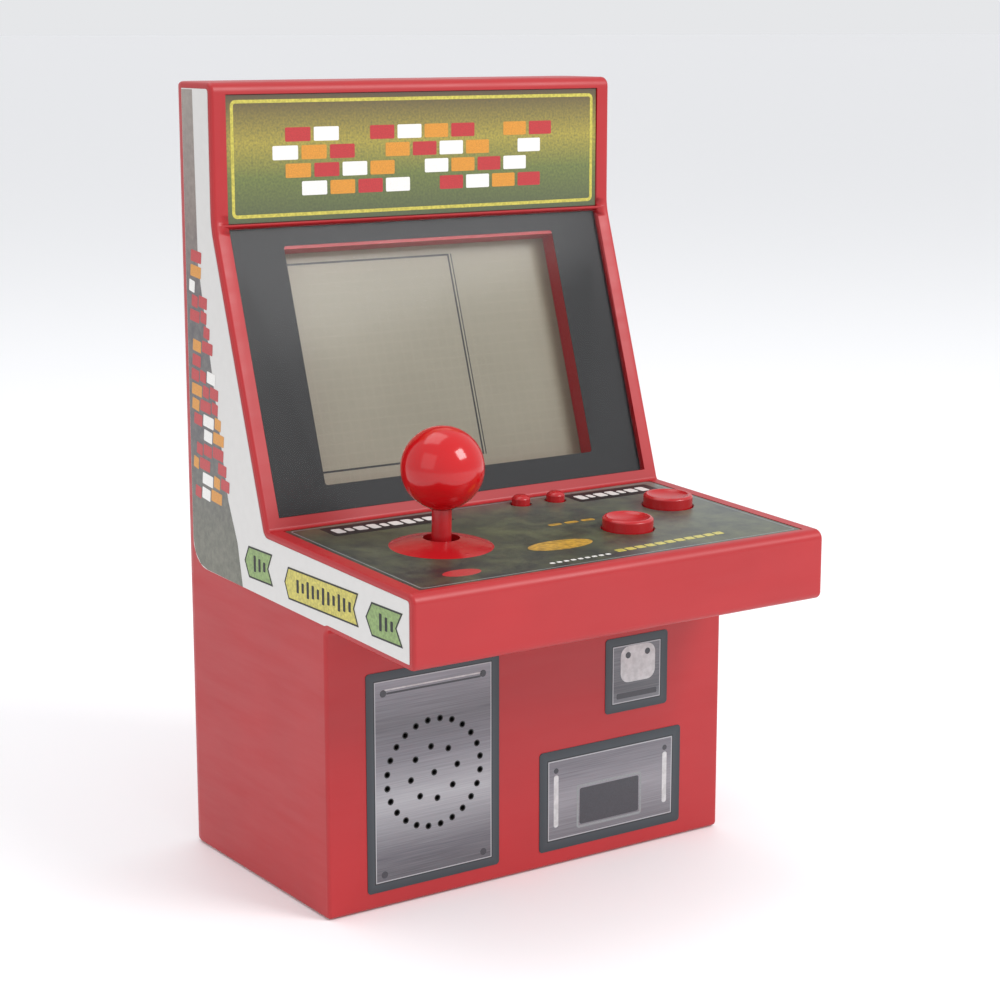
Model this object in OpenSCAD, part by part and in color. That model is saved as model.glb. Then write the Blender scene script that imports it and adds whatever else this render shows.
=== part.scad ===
// Palm-size bartop arcade cabinet: a battery brick game in a moulded shell.
// Millimetres. X to the player's right, Y to the back, Z up.
// Origin on the table, under the middle of the cabinet.

/* [Cabinet] */
// Width across the two flat sides
body_w = 100; // [98:1:125]
// Depth from the front of the control deck to the back cover
body_d = 92; // [92:1:112]
// Height from the table to the top
body_h = 164; // [162:1:200]
// Wall thickness of the two mouldings
wall = 2; // [1.6:0.1:2.4]
// How far the control deck stands out over the lower front
deck_overhang = 32.3; // [30:0.5:36]
// Height of the underside of the deck lip
deck_under = 58.8; // [54:0.2:62]
// Height of the deck's front face
deck_lip = 14.6; // [14:0.2:18]
// Slope of the deck surface, rising to the back
deck_slope = 2.1; // [0:0.1:4]
// Depth of the deck surface, front to back
deck_depth = 55; // [54:0.5:60]
// Lean of the screen face, back from upright
screen_lean = 18.2; // [14:0.2:20]
// Length of the screen face, measured up its slope
screen_len = 63; // [62:0.5:70]
// Depth of the separate back cover
cover_d = 4; // [3:0.5:6]
// Radius of the back cover's four long corners
cover_r = 4; // [2:0.5:6]

/* [Screen] */
// Width of the clear window
window_w = 69.2; // [60:0.2:74]
// Height of the clear window, up the slope
window_h = 51.4; // [44:0.2:53]
// Height of the window above the deck corner, up the slope
window_v = 7.5; // [6.5:0.1:9]
// Thickness of the clear lens
lens_t = 0.8; // [0.6:0.1:1.2]
// Red rim left and right of the lens
rim_w = 3.3; // [2.5:0.1:5]
// Depth of the well between the lens and the display
well_depth = 6; // [5:0.1:7]
// How far the top wall of the well stands below the top of the window
well_lip = 1.2; // [0:0.1:1.6]
// Thickness of the display glass
lcd_t = 2.2; // [1.8:0.1:2.6]

/* [Controls] */
// Diameter of the joystick's ball
ball_d = 16.7; // [14:0.1:20]
// Height of the ball's centre above the deck surface
ball_lift = 15.7; // [14:0.1:20]
// Diameter of the joystick's shaft
shaft_d = 4; // [3:0.1:5]
// Tilt of the joystick each way, in degrees
stick_tilt = 8; // [4:0.5:8]
// Diameter of the joystick's domed bezel
bezel_d = 21; // [19:0.2:24]
// Diameter of the two play buttons
button_d = 10.6; // [8:0.1:12]
// Height of the play buttons above the deck surface
button_h = 2.4; // [1.8:0.1:3.5]
// Diameter of the two menu buttons
menu_d = 4; // [3:0.1:5]
// Travel of every button
button_travel = 1.1; // [0.6:0.1:1.2]
// Gap round a button in its hole
button_gap = 0.2; // [0.1:0.05:0.4]

/* [Sound and power] */
// Outer diameter of the speaker
speaker_d = 28; // [26:0.5:30]
// Radius of the outer ring of sound holes
grille_r = 11.3; // [9:0.1:11.5]
// Diameter of one sound hole
sound_hole_d = 1.1; // [0.8:0.1:1.6]
// Diameter of one AAA cell
cell_d = 10.5; // [10.3:0.1:10.6]
// Length of one AAA cell
cell_l = 44.5; // [44:0.1:45]
// Seat of the battery door beside and below the battery box
door_ledge = 1.5; // [1:0.1:3]
// Land above the battery box that takes the door's screw
door_land = 7; // [6.5:0.5:10]
// Thickness of the battery door
door_t = 1.6; // [1.2:0.1:1.8]
// Gap round the battery door
door_gap = 0.3; // [0.2:0.05:0.5]

/* [Hidden] */
$fn = 48;
eps = 0.01;

// Shared thicknesses and gaps
decal_t = 0.12;
decal_inset = 1.3;
film_t = 0.1;
fit_gap = 0.15;
screw_d = 2;
pilot_d = 1.7;
board_t = 1.2;

// Outline of the cabinet in the side view, with the deck front at y = 0
deck_top = deck_under + deck_lip;
knee = [deck_depth, deck_top + deck_depth * tan(deck_slope)];
brow = knee + screen_len * [sin(screen_lean), cos(screen_lean)];
outline = [[0, deck_under], [0, deck_top], knee, brow, [brow[0], body_h], [body_d, body_h],
           [body_d, 0], [deck_overhang, 0], [deck_overhang, deck_under + deck_overhang * tan(deck_slope)]];
outline_r = [1.5, 2, 0.8, 15, 2, 0, 0, 1, 1.5];
part_y = body_d - cover_d;

// Deck frame: x, distance up the deck, height above the deck surface
overlay_drop = 0.3;
overlay_t = 0.2;
overlay_top = overlay_t - overlay_drop;
overlay_v = [2.8, deck_depth - 0.8];
deck_margin = 3.2;
stick_at = [-25.2, 28.8];
button_a_at = [16, 22];
button_b_at = [36, 34];
menu_left_at = [8.9, 50.2];
menu_right_at = [17.4, 49.4];
pivot_w = -5.6;
board_top = -10;
pad_t = 0.5;
dome_h = 0.4;
board_v = [5, 53.5];
board_posts = [for (s = [-1, 1], v = [board_v[0] + 3, board_v[1] - 3.5]) [s * (body_w / 2 - wall - 5.7), v]];

// Joystick, drawn upright about its pivot
bezel_rise = 1.9;
bezel_hole_d = shaft_d + 2 * (bezel_rise - pivot_w) * tan(stick_tilt) + 1.3;
bezel_post_at = 7.8;
gimbal_bore_d = 1.7;
gimbal_pin_d = 1.6;
hub_d = shaft_d + 1.4;
ring_id = hub_d + 1.8;
ring_od = ring_id + 3.8;
ring_t = 2.4;
ear_gap = 0.3;
ear_t = 1.6;
ball_w = ball_lift - pivot_w;
actuator_w = -2.1;
actuator_t = 0.8;
plunger_w = board_top + pad_t + dome_h + button_travel + 0.1;

// Screen frame: x, distance up the slope, height out of the screen face
screen_wall = 2.8;
lens_drop = 0.45;
lens_v = [2.4, screen_len - 0.5];
lens_w = body_w - 2 * rim_w;
well_t = 1.4;
lcd_w = window_w + 5.4;
lcd_h = window_h + 5;
lcd_v = window_v + window_h / 2;
lcd_front = -well_depth - 0.1;
main_w = lcd_front - lcd_t - 2.4;
main_posts = [for (s = [-1, 1], v = [9, 55]) [s * (body_w / 2 - wall - 5), v]];

// Marquee
sign_drop = 0.8;
sign_t = 0.5;
sign_z = [brow[1] + 0.1, body_h - 2.4];
sign_w = lens_w;

// Lower front: speaker and coin door places as [x, z]
front_y = deck_overhang;
speaker_at = [-25, 26.5];
speaker_seat = 1.5;
flange_t = 1;
speaker_posts = [for (s = [-1, 1], t = [-1, 1])
    speaker_at + (speaker_d / 2 + 2.3) * [s * cos(35), t * sin(35)]];
speaker_decal_x = [-41, -9];
speaker_decal_z = [3.5, 49.5];
coin_slot_x = [18.4, 35.1];
coin_slot_z = [31.1, 47.6];
coin_door_x = [1.3, 39];
coin_door_z = [3.5, 25.5];

// Case screws as [x, z], and where the front and rear posts meet
low_screws = [for (s = [-1, 1]) [s * (body_w / 2 - wall - 5), 8]];
high_screws = [for (s = [-1, 1]) [s * (body_w / 2 - wall - 5), body_h - 8]];
post_d = 6;
low_meet = 70;
high_meet = brow[0] + 8;

// Battery box, open to the back
cells = 3;
cell_pitch = cell_d + 0.7;
box_w = cells * cell_pitch + 1.4;
box_z0 = 12;
box_h = cell_l + 7;
box_wall = 1.2;
box_depth = cell_d + 1.2;
door_z0 = box_z0 - door_ledge;
door_w = box_w + 2 * door_ledge;
door_h = door_ledge + box_h + door_land;
door_y = body_d - door_t;
door_frame = 1.6;
door_screw_z = box_z0 + box_h + door_land / 2;
door_boss = [5, 1.4];
tongue = [6, 1.2, 1.9];
tongue_x = cell_pitch;
cell_y = door_y - 0.8 - cell_d / 2;

// Colours
red = "#c4262b";
black = "#1c1d20";

function unit(v) = v / norm(v);
// Points of an arc of radius r that rounds corner b between a and c
function corner(a, b, c, r, n) = r == 0 ? [b] :
    let(u = unit(a - b), v = unit(c - b), half = acos(u * v) / 2,
        centre = b + unit(u + v) * r / sin(half),
        s = b + u * r / tan(half) - centre, e = b + v * r / tan(half) - centre,
        from = atan2(s[1], s[0]), turn = (atan2(e[1], e[0]) - from + 540) % 360 - 180)
    [for (i = [0:n]) centre + r * [cos(from + turn * i / n), sin(from + turn * i / n)]];
function rounded(p, r, n = 6) = let(k = len(p))
    [for (i = [0:k - 1]) each corner(p[(i + k - 1) % k], p[i], p[(i + 1) % k], r[i], n)];

// Draws a side-view shape, y across and z up, as a slab of width w centred on X
module side_slab(w) {
    translate([-w / 2, -body_d / 2, 0]) rotate([90, 0, 90]) linear_extrude(w) children();
}
// Draws a front-view shape, x across and z up, from y to the back by t
module front_slab(y, t) {
    translate([0, y + t - body_d / 2, 0]) rotate([90, 0, 0]) linear_extrude(t) children();
}
module at(y, z, x = 0) { translate([x, y - body_d / 2, z]) children(); }
module on_deck(p = [0, 0], w = 0) {
    translate([0, -body_d / 2, deck_top]) rotate([deck_slope, 0, 0]) translate([p[0], p[1], w]) children();
}
module on_screen(p = [0, 0], w = 0) {
    at(knee[0], knee[1]) rotate([90 - screen_lean, 0, 0]) translate([p[0], p[1], w]) children();
}
// A straight cylinder pointing to the back from [x, y, z]
module peg(p, d, l) { at(p[1], p[2], p[0]) rotate([-90, 0, 0]) cylinder(d = d, h = l); }
module box(x, y, z) { translate([x[0], y[0], z[0]]) cube([x[1] - x[0], y[1] - y[0], z[1] - z[0]]); }
module round_rect(w, h, r) {
    polygon(rounded([[-w / 2, -h / 2], [w / 2, -h / 2], [w / 2, h / 2], [-w / 2, h / 2]], [r, r, r, r]));
}
// A prism of a centred rectangle: width, height and thickness
module panel(w, h, t) { linear_extrude(t) square([w, h], center = true); }
// The places and diameters of the four buttons; their holes are a little larger
button_holes = [
    [button_a_at, button_d], [button_b_at, button_d], [menu_left_at, menu_d], [menu_right_at, menu_d]
];
// Sweeps a thin round wire along points, with flat ends
function wire_frame(d) = let(n = abs(d[2]) > 0.9 ? [1, 0, 0] : [0, 0, 1], u = unit(cross(d, n)))
    [u, cross(d, u)];
module wire(p, d, sides = 8) {
    k = len(p);
    rings = [for (i = [0:k - 1])
        let(t = unit((i < k - 1 ? p[i + 1] : p[i]) - (i > 0 ? p[i - 1] : p[i])), f = wire_frame(t))
        for (j = [0:sides - 1]) p[i] + d / 2 * (cos(360 * j / sides) * f[0] + sin(360 * j / sides) * f[1])];
    polyhedron(rings, concat([[for (j = [0:sides - 1]) j]],
        [for (i = [0:k - 2], j = [0:sides - 1]) let(n = (j + 1) % sides, a = i * sides, b = a + sides)
            each [[a + j, b + j, b + n], [a + j, b + n, a + n]]],
        [[for (j = [sides - 1:-1:0]) (k - 1) * sides + j]]));
}
// A pan-head self-tapping screw: head on z = 0 upwards, shank downwards
module screw(l, d = screw_d, head = 3.6, head_h = 1.3) {
    difference() {
        union() {
            cylinder(d = head, h = head_h);
            translate([0, 0, -l]) cylinder(d = d, h = l + eps);
        }
        for (a = [0, 90]) rotate(a) translate([-head * 0.3, -0.25, head_h - 0.6]) cube([head * 0.6, 0.5, 1]);
    }
}

// ---- Mouldings ----
module side_shape() { polygon(rounded(outline, outline_r)); }
module cavity_shape() {
    offset(delta = -wall) side_shape();
    translate([part_y - 4, wall]) square([cover_d + 8, body_h - 2 * wall]);
}
module front_housing() color(red) difference() {
    union() {
        difference() {
            side_slab(body_w) intersection() {
                side_shape();
                square([part_y, body_h]);
            }
            side_slab(body_w - 2 * wall) cavity_shape();
        }
        screen_back();
        for (p = low_screws) peg([p[0], front_y + wall - eps, p[1]], post_d, low_meet - front_y - wall);
        for (p = high_screws) peg([p[0], brow[0] + wall - eps, p[1]], post_d, high_meet - brow[0] - wall);
        for (p = board_posts) on_deck(p, board_top) cylinder(d = 4.4, h = -board_top - wall + eps);
        for (p = speaker_posts) peg([p[0], front_y + wall - eps, p[1]], 4, speaker_seat + flange_t);
        at(front_y + wall - eps, speaker_at[1], speaker_at[0]) rotate([-90, 0, 0]) difference() {
            cylinder(d = speaker_d, h = speaker_seat);
            translate([0, 0, -1]) cylinder(d = speaker_d - 3, h = speaker_seat + 2);
        }
    }
    // Recesses for the lens, the overlay and the marquee sign
    on_screen() box([-lens_w / 2, lens_w / 2], lens_v, [-lens_drop - lens_t - film_t, 3]);
    on_deck() box([-body_w / 2 + deck_margin, body_w / 2 - deck_margin], overlay_v, [-overlay_drop, 3]);
    front_slab(brow[0] - 1, 1 + sign_drop) sign_rect(0);
    // Window and control holes
    on_screen([0, lcd_v - well_lip / 2], -screen_wall - well_depth)
        panel(window_w, window_h - well_lip, screen_wall + well_depth);
    on_deck(stick_at, -wall - 1) cylinder(d = 12.4, h = wall + 2);
    for (s = [-1, 1]) on_deck(stick_at + [0, s * bezel_post_at], -wall - 1) cylinder(d = 3.8, h = wall + 2);
    for (b = button_holes) on_deck(b[0], -wall - 3) cylinder(d = b[1] + 2 * button_gap, h = wall + 4);
    sound_holes(front_y - 1, wall + 2);
    // Pilot holes for the screws
    for (p = low_screws) peg([p[0], low_meet - 9, p[1]], pilot_d, 10);
    for (p = high_screws) peg([p[0], high_meet - 4.5, p[1]], pilot_d, 6);
    for (p = board_posts) on_deck(p, board_top - 1) cylinder(d = 1.3, h = 6);
    for (p = main_posts) on_screen(p, main_w - 1) cylinder(d = 1.3, h = 6);
    for (p = speaker_posts) peg([p[0], front_y + wall - 0.8, p[1]], 1.3, 5);
}
// Thickened screen wall, the display well and the board posts behind it
module screen_back() {
    inside = body_w / 2 - wall + eps;
    on_screen() box([-inside, inside], [1.5, lens_v[1] + 1], [-screen_wall, -wall + eps]);
    on_screen([0, lcd_v], -well_depth) panel(window_w + 2 * well_t, window_h + 2 * well_t, well_depth - wall);
    for (p = main_posts) on_screen(p, main_w) cylinder(d = 4, h = -main_w - wall);
}
module sound_holes(y, l) {
    rings = [[1, 0], [8, grille_r / 2], [24, grille_r]];
    for (r = rings, i = [0:r[0] - 1]) let(a = 360 * i / r[0] + 7.5)
        peg([speaker_at[0] + r[1] * cos(a), y, speaker_at[1] + r[1] * sin(a)], sound_hole_d, l);
}
module inner_rect(grow) {
    inset = wall - grow;
    translate([0, body_h / 2]) square([body_w - 2 * inset, body_h - 2 * inset], center = true);
}
module box_rect(grow) {
    translate([0, box_z0 + box_h / 2]) square([box_w + 2 * grow, box_h + 2 * grow], center = true);
}
module door_rect(grow) {
    translate([0, door_z0 + door_h / 2]) square([door_w + 2 * grow, door_h + 2 * grow], center = true);
}
module rear_cover() color(red) difference() {
    union() {
        difference() {
            union() {
                // Back shell with rounded long corners, and the lip that locates in the front housing
                intersection() {
                    front_slab(part_y, cover_d) inner_rect(wall);
                    half = body_w / 2;
                    back = body_d / 2;
                    linear_extrude(body_h) polygon(
                        rounded([[-half, 0], [half, 0], [half, back], [-half, back]], [0, 0, cover_r, cover_r], 8));
                }
                front_slab(part_y - 2.5, 2.5 + eps) inner_rect(-fit_gap);
            }
            front_slab(part_y - 3, 3 + cover_d - wall) inner_rect(-1.3);
        }
        for (p = low_screws) peg([p[0], low_meet + fit_gap, p[1]], post_d, body_d - wall - low_meet);
        for (p = high_screws) peg([p[0], high_meet + fit_gap, p[1]], post_d, body_d - wall - high_meet);
        front_slab(door_y - box_depth - box_wall, box_depth + box_wall) box_rect(box_wall);
        front_slab(door_y - door_frame, door_frame) door_rect(door_gap + 1.2);
        peg([0, door_y - door_boss[1] - 7, door_screw_z], door_boss[0] + 3, door_boss[1] + 7);
    }
    // Battery cavity, the door's seat and the slots for its tongues
    front_slab(door_y - box_depth, box_depth + door_t + 1) box_rect(0);
    front_slab(door_y - fit_gap, door_t + 1) door_rect(door_gap);
    for (s = [-1, 1]) front_slab(door_y - 2.4, 2.9)
        translate([s * tongue_x, door_z0]) square([tongue[0] + 1, 2 * tongue[2] + 1.2], center = true);
    // Screw holes with head recesses
    for (p = low_screws) {
        peg([p[0], low_meet - 1, p[1]], screw_d + 0.4, body_d);
        peg([p[0], low_meet + 3, p[1]], 4.2, body_d);
    }
    for (p = high_screws) {
        peg([p[0], high_meet - 1, p[1]], screw_d + 0.4, body_d);
        peg([p[0], body_d - 2.2, p[1]], 4.2, body_d);
    }
    peg([0, door_y - door_boss[1] - 6, door_screw_z], screw_d + 0.5, body_d);
    peg([0, door_y - door_boss[1] - fit_gap - 0.2, door_screw_z], door_boss[0] + 1, body_d);
}
module battery_door() color(red) difference() {
    union() {
        front_slab(door_y, door_t) door_rect(0);
        peg([0, door_y - door_boss[1], door_screw_z], door_boss[0], door_boss[1] + eps);
        for (s = [-1, 1]) front_slab(door_y - tongue[1] - 0.1, tongue[1] + 0.1 + eps)
            translate([s * tongue_x, door_z0]) square([tongue[0], 2 * tongue[2]], center = true);
    }
    // Finger grooves
    for (i = [0:4]) front_slab(body_d - 0.4, 1)
        translate([0, door_screw_z - 8 - 2 * i]) square([14, 0.9], center = true);
    peg([0, door_y - door_boss[1] - 1, door_screw_z], screw_d + 0.2, 9);
    peg([0, body_d - 1.5, door_screw_z], 4.2, 9);
}
module door_screw() color("silver") at(body_d - 1.5, door_screw_z) rotate([-90, 0, 0]) screw(4.5, screw_d);
module case_screws() color("silver") {
    for (p = low_screws) at(low_meet + 3, p[1], p[0]) rotate([-90, 0, 0]) screw(10, pilot_d - 0.1);
    for (p = high_screws) at(body_d - 2.2, p[1], p[0]) rotate([-90, 0, 0]) screw(10, pilot_d - 0.1);
}

// ---- Screen ----
module sign_rect(gap) {
    translate([0, (sign_z[0] + sign_z[1]) / 2])
        square([sign_w - 2 * gap, sign_z[1] - sign_z[0] - 2 * gap], center = true);
}
module marquee_sign() color("darkolivegreen")
    front_slab(brow[0] + sign_drop - sign_t, sign_t) sign_rect(fit_gap);
lens_r = 0.6;
module lens_shape() {
    translate([0, (lens_v[0] + lens_v[1]) / 2])
        round_rect(lens_w - 2 * fit_gap, lens_v[1] - lens_v[0] - 2 * fit_gap, lens_r);
}
module screen_lens() color("lightgrey", 0.3)
    on_screen([0, 0], -lens_drop - lens_t) linear_extrude(lens_t) lens_shape();
module lens_mask() color(black) on_screen([0, 0], -lens_drop - lens_t - film_t)
    linear_extrude(film_t) difference() {
        lens_shape();
        translate([0, lcd_v]) round_rect(window_w - 1, window_h - 1, lens_r);
    }
// Display: the rear sheet of glass is taller than the front one, and its edges meet the contact strips
lcd_sheet = lcd_t / 2;
lcd_back = lcd_front - lcd_t;
foil_t = 0.15;
strip_v = lcd_h / 2 - 1.6;
module lcd_glass() color("#a8a595") on_screen([0, lcd_v], lcd_back) union() {
    translate([0, 0, lcd_sheet]) panel(lcd_w, lcd_h - 3, lcd_t - lcd_sheet);
    panel(lcd_w, lcd_h, lcd_sheet + eps);
}
module lcd_reflector() color("silver")
    on_screen([0, lcd_v], lcd_back - foil_t) panel(lcd_w - 6, lcd_h - 7, foil_t);
module lcd_frame() color("white") on_screen([0, lcd_v], main_w + eps) difference() {
    panel(lcd_w + 3, lcd_h + 4, lcd_front - main_w + 0.1);
    translate([0, 0, lcd_back - main_w - eps]) panel(lcd_w + 2 * fit_gap, lcd_h + 2 * fit_gap, 9);
    translate([0, 0, -1]) panel(lcd_w - 6, lcd_h - 7, 9);
    for (s = [-1, 1]) translate([0, s * strip_v, -1]) panel(lcd_w - 10, 2, 9);
}
module contact_strips() color("#e88a9a") for (s = [-1, 1])
    on_screen([0, lcd_v + s * strip_v], main_w) panel(lcd_w - 11, 1.7, lcd_back - main_w);
module main_board() color("#2f6b3a") on_screen([0, 0], main_w - board_t) difference() {
    translate([0, 32]) linear_extrude(board_t) round_rect(body_w - 2 * wall - 5, 56, 1);
    for (p = main_posts) translate([p[0], p[1], -1]) cylinder(d = 2, h = 4);
}
module main_board_chip() color(black) on_screen([6, 34], main_w - board_t) intersection() {
    translate([0, 0, 6.6]) sphere(r = 9);
    translate([-8, -8, -5]) cube([16, 16, 5]);
}
module main_board_parts() color("#b08040") {
    for (i = [0:5]) on_screen([-30 + 7 * i, 16], main_w - board_t - 0.9) panel(2, 1.2, 0.9);
    on_screen([-26, 44], main_w - board_t - 3) cylinder(d = 4, h = 3);
    on_screen([28, 22], main_w - board_t - 1.5) panel(6, 4, 1.5);
}
module main_board_screws() color("silver") for (p = main_posts)
    on_screen(p, main_w - board_t) mirror([0, 0, 1]) screw(5.5, 1.2, 3, 0.9);

// ---- Controls ----
module deck_overlay() color("#3e4644") on_deck([0, 0], -overlay_drop) difference() {
    translate([0, (overlay_v[0] + overlay_v[1]) / 2]) linear_extrude(overlay_t)
        round_rect(body_w - 2 * deck_margin - 0.2, overlay_v[1] - overlay_v[0] - 0.2, 1);
    translate([stick_at[0], stick_at[1], -1]) cylinder(d = bezel_d - 2, h = 2);
    for (b = button_holes) translate([b[0][0], b[0][1], -1]) cylinder(d = b[1] + 2 * button_gap + 0.4, h = 2);
}
module stick_bezel() color(red) on_deck(stick_at) difference() {
    dome_r = (pow(bezel_d / 2, 2) + pow(bezel_rise, 2)) / (2 * bezel_rise);
    union() {
        intersection() {
            translate([0, 0, overlay_top + bezel_rise - dome_r]) sphere(r = dome_r, $fn = 180);
            translate([0, 0, overlay_top]) cylinder(d = bezel_d, h = bezel_rise + 1);
        }
        translate([0, 0, -wall + 0.1]) cylinder(d = 12, h = wall + 0.2);
        for (s = [-1, 1]) translate([0, s * bezel_post_at, -wall + 0.1]) cylinder(d = 3.4, h = wall + 0.2);
    }
    translate([0, 0, -wall - 1]) cylinder(d = bezel_hole_d, h = 9);
    translate([0, 0, -wall - 1]) cylinder(d1 = 10.6, d2 = bezel_hole_d, h = 2.6);
    for (s = [-1, 1]) translate([0, s * bezel_post_at, -wall - 1]) cylinder(d = 1.3, h = 2.4);
}
// The moving stick in its own upright frame: pivot at the origin
module stick_frame() { on_deck(stick_at, pivot_w) children(); }
module stick_ball() color("#d11a1a") stick_frame() difference() {
    translate([0, 0, ball_w]) sphere(d = ball_d, $fn = 96);
    translate([0, 0, ball_w - ball_d / 2 - 2]) cylinder(d = shaft_d, h = ball_d / 2 + 2);
}
module stick_shaft() color("#c4262b") stick_frame() difference() {
    union() {
        translate([0, 0, actuator_w]) cylinder(d = shaft_d, h = ball_w - actuator_w);
        cylinder(d = hub_d, h = ring_t, center = true);
    }
    rotate([90, 0, 0]) cylinder(d = 1.2, h = 9, center = true);
}
module stick_cross_pin() color("silver")
    stick_frame() rotate([90, 0, 0]) cylinder(d = 1.2, h = ring_od - 0.4, center = true);
module stick_actuator() color("white") stick_frame() translate([0, 0, actuator_w - actuator_t]) union() {
    for (a = [0, 90]) rotate(a) translate([-5, -1.5, 0]) cube([10, 3, actuator_t]);
    cylinder(d = 6, h = actuator_t);
}
module gimbal_ring() color("white") stick_frame() difference() {
    union() {
        cylinder(d = ring_od, h = ring_t, center = true);
        rotate([0, 90, 0]) cylinder(d = gimbal_pin_d, h = ring_od + 2 * (ear_gap + ear_t), center = true);
    }
    cylinder(d = ring_id, h = 9, center = true);
    rotate([90, 0, 0]) cylinder(d = 1.3, h = 2 * ring_od, center = true);
}
module gimbal_frame() color("white") on_deck(stick_at) difference() {
    union() {
        translate([0, 0, -wall - 1]) linear_extrude(1) round_rect(20, 20, 2);
        for (s = [-1, 1]) translate([s * (ring_od / 2 + ear_gap + ear_t / 2), 0, pivot_w]) union() {
            translate([-ear_t / 2, -2.2, 0]) cube([ear_t, 4.4, -pivot_w - wall - 1 + eps]);
            rotate([0, 90, 0]) cylinder(d = 4.4, h = ear_t, center = true);
        }
    }
    translate([0, 0, -wall - 2]) cylinder(d = 10.6, h = 3);
    translate([0, 0, pivot_w]) rotate([0, 90, 0]) cylinder(d = gimbal_bore_d, h = 40, center = true);
    for (s = [-1, 1]) translate([0, s * bezel_post_at, -wall - 2]) cylinder(d = 1.8, h = 3);
}
module gimbal_screws() color("silver") for (s = [-1, 1])
    on_deck(stick_at + [0, s * bezel_post_at], -wall - 1) mirror([0, 0, 1]) screw(2.2, 1.2, 3, 0.9);
module stick_pad() color("#d8d8d0") on_deck(stick_at, board_top) union() {
    linear_extrude(0.3) round_rect(16, 16, 2);
    for (a = [0:90:270]) rotate(a) translate([4.2, 0, 0]) cylinder(d1 = 3.6, d2 = 2.4, h = 0.7);
}
// A round press button with a dished top, a retaining flange and a plunger
module press_button(d, h, dish) {
    difference() {
        union() {
            translate([0, 0, -wall - 0.2]) cylinder(d = d, h = wall + 0.2 + h - 0.6);
            translate([0, 0, h - 0.6]) cylinder(d1 = d, d2 = d - 1, h = 0.6);
            translate([0, 0, -wall - 1.3]) cylinder(d = d + 2, h = 1.1);
            translate([0, 0, plunger_w]) cylinder(d = min(4, d - 1), h = 6);
        }
        if (dish > 0) translate([0, 0, h + 14 - dish]) sphere(r = 14, $fn = 96);
    }
}
module button_a() color(red) on_deck(button_a_at) press_button(button_d, button_h, 0.6);
module button_b() color(red) on_deck(button_b_at) press_button(button_d, button_h, 0.6);
module menu_button_left() color(red) on_deck(menu_left_at) press_button(menu_d, button_h - 0.4, 0);
module menu_button_right() color(red) on_deck(menu_right_at) press_button(menu_d, button_h - 0.4, 0);
module button_pad() color("#d8d8d0") on_deck([0, 0], board_top) union() {
    translate([21, 35, 0]) linear_extrude(pad_t) round_rect(37, 33.6, 1);
    for (p = [button_a_at, button_b_at, menu_left_at, menu_right_at])
        translate([p[0], p[1], pad_t - eps]) cylinder(d1 = 5, d2 = 3.4, h = dome_h);
}
module control_board() color("#2f6b3a") on_deck([0, 0], board_top - board_t + 0.2) difference() {
    translate([0, (board_v[0] + board_v[1]) / 2])
        linear_extrude(board_t - 0.2) round_rect(body_w - 2 * wall - 6, board_v[1] - board_v[0], 1);
    for (p = board_posts) translate([p[0], p[1], -1]) cylinder(d = 2, h = 4);
}
module control_board_screws() color("silver") for (p = board_posts)
    on_deck(p, board_top - board_t + 0.2) mirror([0, 0, 1]) screw(4, 1.2, 3, 0.9);

// Flat side-view ribbon of thickness t along points [y, z]
function ribbon_side(p, t) = [for (i = [0:len(p) - 1])
    let(d = unit((i < len(p) - 1 ? p[i + 1] : p[i]) - (i > 0 ? p[i - 1] : p[i]))) p[i] + t * [-d[1], d[0]]];
function slope_point(start, a, v, w) = start + v * [cos(a), sin(a)] + w * [-sin(a), cos(a)];
function screen_point(v, w) = slope_point(knee, 90 - screen_lean, v, w);
function deck_point(v, w) = slope_point([0, deck_top], deck_slope, v, w);
board_back = main_w - board_t;
ribbon_path = [deck_point(board_v[1] - 2, board_top + 0.2), deck_point(board_v[1] + 1, board_top + 0.4),
    [knee[0] + 4, knee[1] - 13], [knee[0] + 12, knee[1] - 13], [knee[0] + 18, knee[1] - 8],
    [knee[0] + 19, knee[1] - 2], screen_point(5.5, board_back - 1.6), screen_point(8.5, board_back - 0.2)];
module ribbon_cable() color("lightgrey") translate([-18, 0, 0]) side_slab(14) polygon(concat(
    ribbon_side(ribbon_path, 0.15),
    [for (i = [len(ribbon_path) - 1:-1:0]) ribbon_side(ribbon_path, -0.15)[i]]));

// ---- Sound ----
module speaker_frame() {
    at(front_y + wall + speaker_seat, speaker_at[1], speaker_at[0]) rotate([-90, 0, 0]) children();
}
speaker_depth = 4;
module speaker_basket() color("dimgray") speaker_frame() difference() {
    union() {
        cylinder(d = speaker_d, h = flange_t);
        translate([0, 0, flange_t - eps])
            cylinder(d1 = speaker_d - 3, d2 = speaker_d - 10, h = speaker_depth - flange_t + 1);
    }
    translate([0, 0, -eps]) cylinder(d = speaker_d - 4, h = flange_t);
    translate([0, 0, flange_t - 2 * eps])
        cylinder(d1 = speaker_d - 4, d2 = speaker_d - 11, h = speaker_depth - flange_t + 0.2);
    translate([0, 0, -1]) cylinder(d = 6, h = 20);
}
cone_r = speaker_d / 2 - 2.1;
surround_r = speaker_d / 2 - 3.4;
module speaker_cone() color("black") speaker_frame() rotate_extrude()
    polygon([[0, 2.2], [2.6, 1.9], [3, 2.6], [surround_r, 0.3], [cone_r, 0.3], [cone_r, 0.55],
        [surround_r, 0.6], [3.2, 3], [2.5, 3], [2.2, 2.4], [0, 2.6]]);
module speaker_magnet() color("silver")
    speaker_frame() translate([0, 0, speaker_depth + 1]) cylinder(d = speaker_d / 2 + 2, h = 4);
module speaker_screws() color("silver") for (p = speaker_posts)
    at(front_y + wall + speaker_seat + flange_t, p[1], p[0]) rotate([-90, 0, 0]) screw(3, 1.2, 5.6, 0.9);
speaker_back = front_y + wall + speaker_seat + speaker_depth + 5;
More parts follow.
